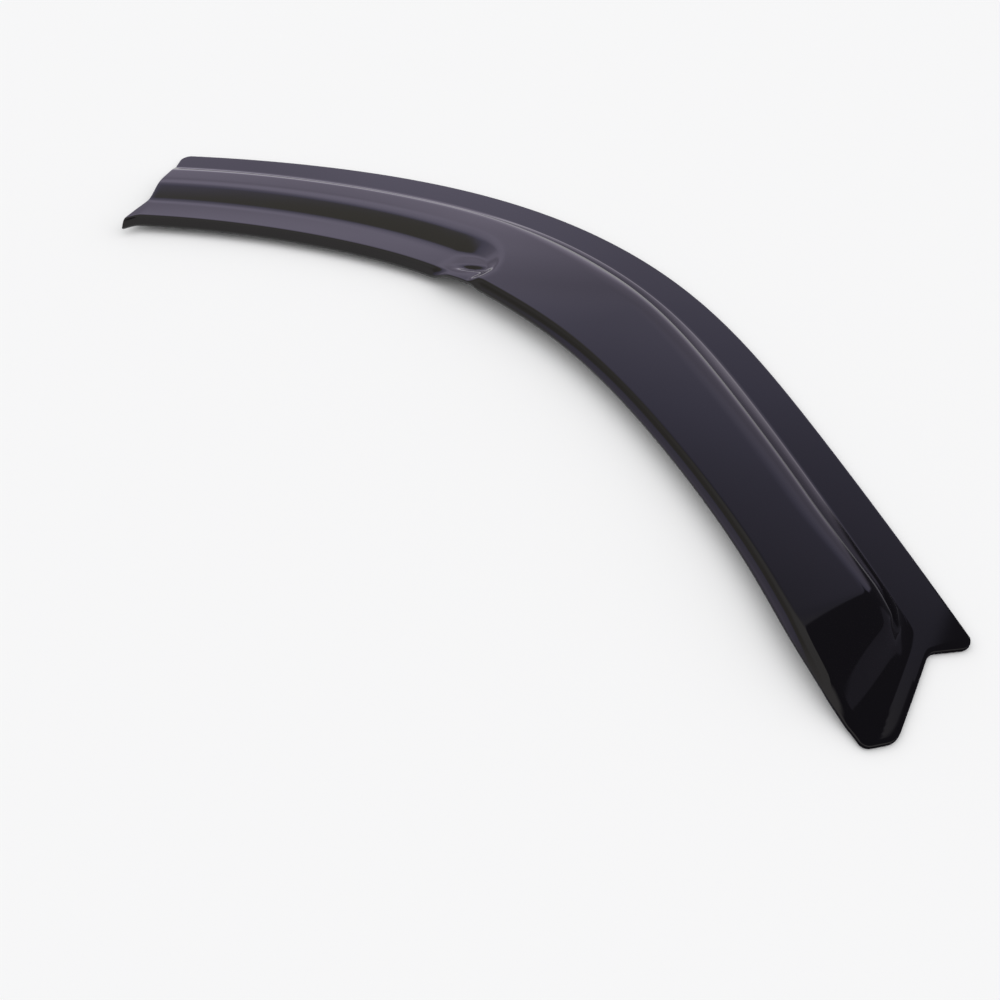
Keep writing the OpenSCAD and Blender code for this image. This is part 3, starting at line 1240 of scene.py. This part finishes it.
@dataclass(frozen=True)
class Tent:
    """White studio tent that only mirrored rays find, graded as a studio's walls are.

    Attributes:
        walls: Colours of the wall from the floor up, by height.
        low_left: Duller low wall on the left.
        back: Shade at mid height and up, left on the back wall.
        right: Shade from the middle of the back wall to the right.
        mid_right: Shade at mid height, from there to the right.
        overhead: Warm panel overhead on the left.
        zenith: Panel straight above.
        dark_high: Upper part of the dark side on the right, which reaches further round.
        dark_side: The dark side itself.
        far_right: Paler lower part of the dark side, far round.
        behind: Side behind the camera.
    """

    walls: tuple[tuple[float, Colour], ...] = (
        (0.00, (1.30, 1.20, 1.44, 1.0)),
        (0.08, (1.12, 1.03, 1.26, 1.0)),
        (0.17, (0.89, 0.80, 1.05, 1.0)),
        (0.45, (0.84, 0.77, 1.05, 1.0)),
        (0.53, (0.76, 0.71, 1.00, 1.0)),
        (0.59, (0.61, 0.575, 0.84, 1.0)),
        (0.62, (0.51, 0.485, 0.70, 1.0)),
        (0.66, (0.43, 0.405, 0.58, 1.0)),
        (0.71, (0.31, 0.30, 0.41, 1.0)),
        (0.80, (0.27, 0.26, 0.31, 1.0)),
        (1.00, (0.36, 0.35, 0.38, 1.0)),
    )
    low_left: Panel = Panel(
        (0.50, 0.45, 0.60, 1.0),
        (
            (Measure.HEIGHT, 0.03, 0.10),
            (Measure.HEIGHT, 0.30, 0.20),
            (Measure.SIDE, 0.0, -0.35),
        ),
        share=0.9,
    )
    back: Panel = Panel(
        grey(0.0), ((Measure.TURN, -0.30, -0.46), (Measure.HEIGHT, 0.33, 0.41)), share=0.16
    )
    right: Panel = Panel(grey(0.0), ((Measure.TURN, -0.20, -0.05),), share=0.14)
    mid_right: Panel = Panel(
        grey(0.0),
        (
            (Measure.TURN, -0.24, -0.10),
            (Measure.HEIGHT, 0.16, 0.26),
            (Measure.HEIGHT, 0.50, 0.40),
        ),
        share=0.2,
    )
    overhead: Panel = Panel(
        (0.41, 0.385, 0.33, 1.0), ((Measure.HEIGHT, 0.55, 0.60), (Measure.SIDE, -0.06, -0.13))
    )
    zenith: Panel = Panel((0.62, 0.60, 0.58, 1.0), ((Measure.HEIGHT, 0.72, 0.86),))
    dark_high: Panel = Panel(
        (0.065, 0.062, 0.08, 1.0), ((Measure.TURN, 0.33, 0.35), (Measure.HEIGHT, 0.58, 0.62))
    )
    dark_side: Panel = Panel((0.065, 0.062, 0.08, 1.0), ((Measure.TURN, 0.43, 0.48),))
    far_right: Panel = Panel(
        (0.17, 0.16, 0.21, 1.0), ((Measure.TURN, 0.82, 0.88), (Measure.HEIGHT, 0.60, 0.56))
    )
    behind: Panel = Panel((0.66, 0.63, 0.62, 1.0), ((Measure.AWAY, 0.05, -0.2),))

    @property
    def panels(self) -> tuple[Panel, ...]:
        """The panels in the order in which each covers the ones before it."""
        shades = (self.low_left, self.back, self.right, self.mid_right)
        lights = (self.overhead, self.zenith)
        return shades + lights + (self.dark_high, self.dark_side, self.far_right, self.behind)

    def build(self, graph: Graph) -> Wire:
        """Adds the tent's nodes.

        Formula: the walls' colours by height, over which the colour of each panel is
        blended by how far a ray meets it.

        Args:
            graph: The world's node tree.

        Returns:
            The colour that a mirrored ray finds.
        """
        toward = graph.add("ShaderNodeTexCoord", out="Generated")
        x, y, z = (graph.add("ShaderNodeSeparateXYZ", {}, {0: toward}, out=k) for k in range(3))
        turn = graph.add("ShaderNodeMath", {"operation": "ARCTAN2"}, {0: x, 1: y})
        measures = dict(zip(Measure, (x, y, z, turn)))
        colour = graph.add("ShaderNodeValToRGB", {"stops": self.walls}, {"Fac": z})
        for panel in self.panels:
            colour = graph.blend(panel.cover(graph, measures), colour, panel.colour)
        return colour


@dataclass
class Studio:
    """Floor, world and camera.

    Attributes:
        ground: Finish of the floor.
        tent: What mirrored rays find round the part.
        reach: Half the side of the floor, in metres.
        azimuth: Camera's angle round the object, in degrees.
        elevation: Camera's angle over the floor, in degrees.
        distance: Camera's distance from its target, in metres.
        target: Point that the camera looks at, in metres.
        lens: Focal length, in millimetres.
        film: Width of the film, in millimetres.
        clip: Nearest and farthest distance that the camera sees, in metres.
        cells: Number of cells along a side of the floor.
        sink: How far the floor lies under the part, in metres.
    """

    ground: PaleFloor = PaleFloor()
    tent: Tent = Tent()
    reach: float = 12.0
    azimuth: float = 12.11
    elevation: float = 42.94
    distance: float = 0.620
    target: tuple[float, float, float] = (0.24973, -0.35028, 0.0)
    lens: float = 39.682
    film: float = 36.0
    clip: Band = (0.01, 60.0)
    cells: int = 8
    sink: float = 0.0004

    def floor(self) -> bpy.types.Object:
        """Makes the floor, a flat square grid just under the part."""
        side = np.linspace(-self.reach, self.reach, self.cells + 1)
        x, y = np.meshgrid(side, side, indexing="ij")
        points = np.stack([x, y, np.full_like(x, -self.sink)], axis=-1).reshape(-1, 3)
        index = np.arange(x.size).reshape(x.shape)
        quads = np.stack(
            [index[:-1, :-1], index[1:, :-1], index[1:, 1:], index[:-1, 1:]], axis=-1
        ).reshape(-1, 4)
        mesh = bpy.data.meshes.new("floor")
        mesh.from_pydata(points.tolist(), [], quads.tolist())
        plane = bpy.data.objects.new("floor", mesh)
        bpy.context.scene.collection.objects.link(plane)
        mesh.materials.append(self.ground.build("floor"))
        return plane

    def world(self) -> None:
        """Lights the scene evenly and lets the gloss mirror a softly graded studio.

        The camera and the matt surfaces see plain white. Mirrored rays see the tent.
        """
        world = bpy.data.worlds.new("studio")
        bpy.context.scene.world = world
        graph = Graph(world)
        mirrored = graph.add("ShaderNodeLightPath", out="Is Glossy Ray")
        seen = graph.blend(mirrored, grey(1.0), self.tent.build(graph))
        light = graph.add("ShaderNodeBackground", {}, {"Color": seen, "Strength": 1.0})
        graph.add("ShaderNodeOutputWorld", {}, {"Surface": light})

    def camera(self) -> bpy.types.Object:
        """Places the camera at the photograph's viewing angle.

        Formula: the target plus the distance along the direction given by azimuth
        and elevation, looking back at the target.

        Returns:
            The camera.
        """
        data = bpy.data.cameras.new("camera")
        data.sensor_width = self.film
        data.lens = self.lens
        data.clip_start, data.clip_end = self.clip
        camera = bpy.data.objects.new("camera", data)
        bpy.context.scene.collection.objects.link(camera)
        a, e = math.radians(self.azimuth), math.radians(self.elevation)
        back = Vector((math.sin(a) * math.cos(e), -math.cos(a) * math.cos(e), math.sin(e)))
        camera.location = Vector(self.target) + self.distance * back
        camera.rotation_mode = "QUATERNION"
        camera.rotation_quaternion = (-back).to_track_quat("-Z", "Y")
        bpy.context.scene.camera = camera
        return camera

    def build(self) -> None:
        """Makes the camera, the floor and the light."""
        self.camera()
        self.floor()
        self.world()
        bpy.context.scene.view_settings.view_transform = "Standard"
        log.info("studio: floor, world and camera")


def main() -> None:
    """Builds the studio and the part, and reports each piece."""
    logging.basicConfig(level=logging.INFO, format="%(name)s: %(message)s")
    Studio().build()
    Deflector().build()


if __name__ == "__main__":
    main()
